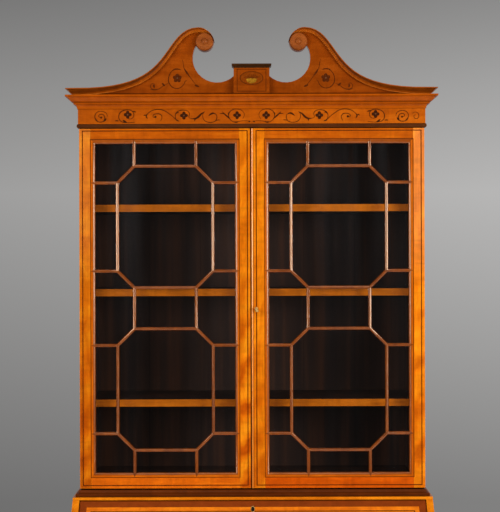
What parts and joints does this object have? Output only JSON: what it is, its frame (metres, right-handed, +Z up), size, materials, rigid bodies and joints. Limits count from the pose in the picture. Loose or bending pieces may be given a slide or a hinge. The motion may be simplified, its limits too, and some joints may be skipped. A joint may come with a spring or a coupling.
{
  "type": "bureau bookcase",
  "caption": "Tall bureau bookcase: glazed doors with octagonal glazing bars, swan-neck pediment and inlaid frieze, above a fall-front writing bureau with lopers and drawers.",
  "frame": {"origin": "on the floor, in the middle of the bounding box's plan", "axes": "+Z up, +X to the viewer's right, front towards -Y"},
  "size_m": [0.98, 0.517, 2.2565],
  "materials": {
    "satinwood": "polished golden-orange satinwood veneer",
    "mahogany": "polished dark mahogany",
    "bead_wood": "polished brown mouldings",
    "carcass_wood": "matt secondary timber",
    "brass": "aged brass",
    "glass": "clear old glass"
  },
  "bodies": {
    "carcass": {"bookcase_side_left": "satinwood", "bookcase_side_right": "satinwood", "bookcase_top": "carcass_wood", "bookcase_bottom": "carcass_wood", "bookcase_back": "carcass_wood", "shelf_upper": "satinwood", "shelf_middle": "satinwood", "shelf_lower": "satinwood", "frieze": "satinwood", "frieze_bead": "mahogany", "cornice": "satinwood", "pediment_board": "satinwood", "swan_neck_moulding_left": "satinwood", "swan_neck_moulding_right": "satinwood", "rosette_left": "satinwood", "rosette_right": "satinwood", "pedestal_block": "satinwood", "pedestal_cap": "mahogany", "bureau_side_left": "satinwood", "bureau_side_right": "satinwood", "bureau_top": "satinwood", "bureau_back": "carcass_wood", "waist_moulding": "mahogany", "writing_bed": "satinwood", "drawer_rail_upper": "satinwood", "drawer_rail_lower": "satinwood", "base": "satinwood", "pigeonholes": "carcass_wood", "door_left_lower_hinge_fixed_leaf": "brass", "door_left_upper_hinge_fixed_leaf": "brass", "door_right_lower_hinge_fixed_leaf": "brass", "door_right_upper_hinge_fixed_leaf": "brass", "fall_left_hinge_fixed_leaf": "brass", "fall_right_hinge_fixed_leaf": "brass"},
    "door_left": {"door_left_hinge_stile": "satinwood", "door_left_meeting_stile": "satinwood", "door_left_top_rail": "satinwood", "door_left_bottom_rail": "satinwood", "door_left_glazing_bars": "bead_wood", "door_left_glass": "glass", "door_left_lower_hinge_moving_leaf": "brass", "door_left_upper_hinge_moving_leaf": "brass"},
    "door_right": {"door_right_hinge_stile": "satinwood", "door_right_meeting_stile": "satinwood", "door_right_top_rail": "satinwood", "door_right_bottom_rail": "satinwood", "door_right_glazing_bars": "bead_wood", "door_right_glass": "glass", "door_right_meeting_bead": "bead_wood", "door_right_lower_hinge_moving_leaf": "brass", "door_right_upper_hinge_moving_leaf": "brass"},
    "key": {"door_key": "brass"},
    "fall": {"fall_front": "satinwood", "fall_left_hinge_moving_leaf": "brass", "fall_right_hinge_moving_leaf": "brass"},
    "loper_left_slide": {"loper_left": "satinwood"},
    "loper_right_slide": {"loper_right": "satinwood"},
    "drawer_top_slide": {"drawer_top": "satinwood"},
    "drawer_middle_slide": {"drawer_middle": "satinwood"},
    "drawer_bottom_slide": {"drawer_bottom": "satinwood"}
  },
  "joints": [
    {"name": "left_door_swing", "type": "hinge", "parent": "carcass", "child": "door_left", "pos_m": [-0.457, 0.00291, 1.5165], "axis": [0, 0, -1], "range_deg": [0, 110]},
    {"name": "right_door_swing", "type": "hinge", "parent": "carcass", "child": "door_right", "pos_m": [0.457, 0.00291, 1.5165], "axis": [0, 0, 1], "range_deg": [0, 110]},
    {"name": "key_turn", "type": "hinge", "parent": "door_right", "child": "key", "pos_m": [0.0115, -0.01969, 1.513], "axis": [0, 1, 0], "range_deg": [0, 90]},
    {"name": "fall_swing", "type": "hinge", "parent": "carcass", "child": "fall", "pos_m": [0, -0.23451, 0.75], "axis": [1, 0, 0], "range_deg": [0, 130]},
    {"name": "left_loper_pull", "type": "slide", "parent": "carcass", "child": "loper_left_slide", "axis": [0, -1, 0], "range_m": [0, 0.24]},
    {"name": "right_loper_pull", "type": "slide", "parent": "carcass", "child": "loper_right_slide", "axis": [0, -1, 0], "range_m": [0, 0.24]},
    {"name": "top_drawer_pull", "type": "slide", "parent": "carcass", "child": "drawer_top_slide", "axis": [0, -1, 0], "range_m": [0, 0.32]},
    {"name": "middle_drawer_pull", "type": "slide", "parent": "carcass", "child": "drawer_middle_slide", "axis": [0, -1, 0], "range_m": [0, 0.32]},
    {"name": "bottom_drawer_pull", "type": "slide", "parent": "carcass", "child": "drawer_bottom_slide", "axis": [0, -1, 0], "range_m": [0, 0.32]}
  ]
}
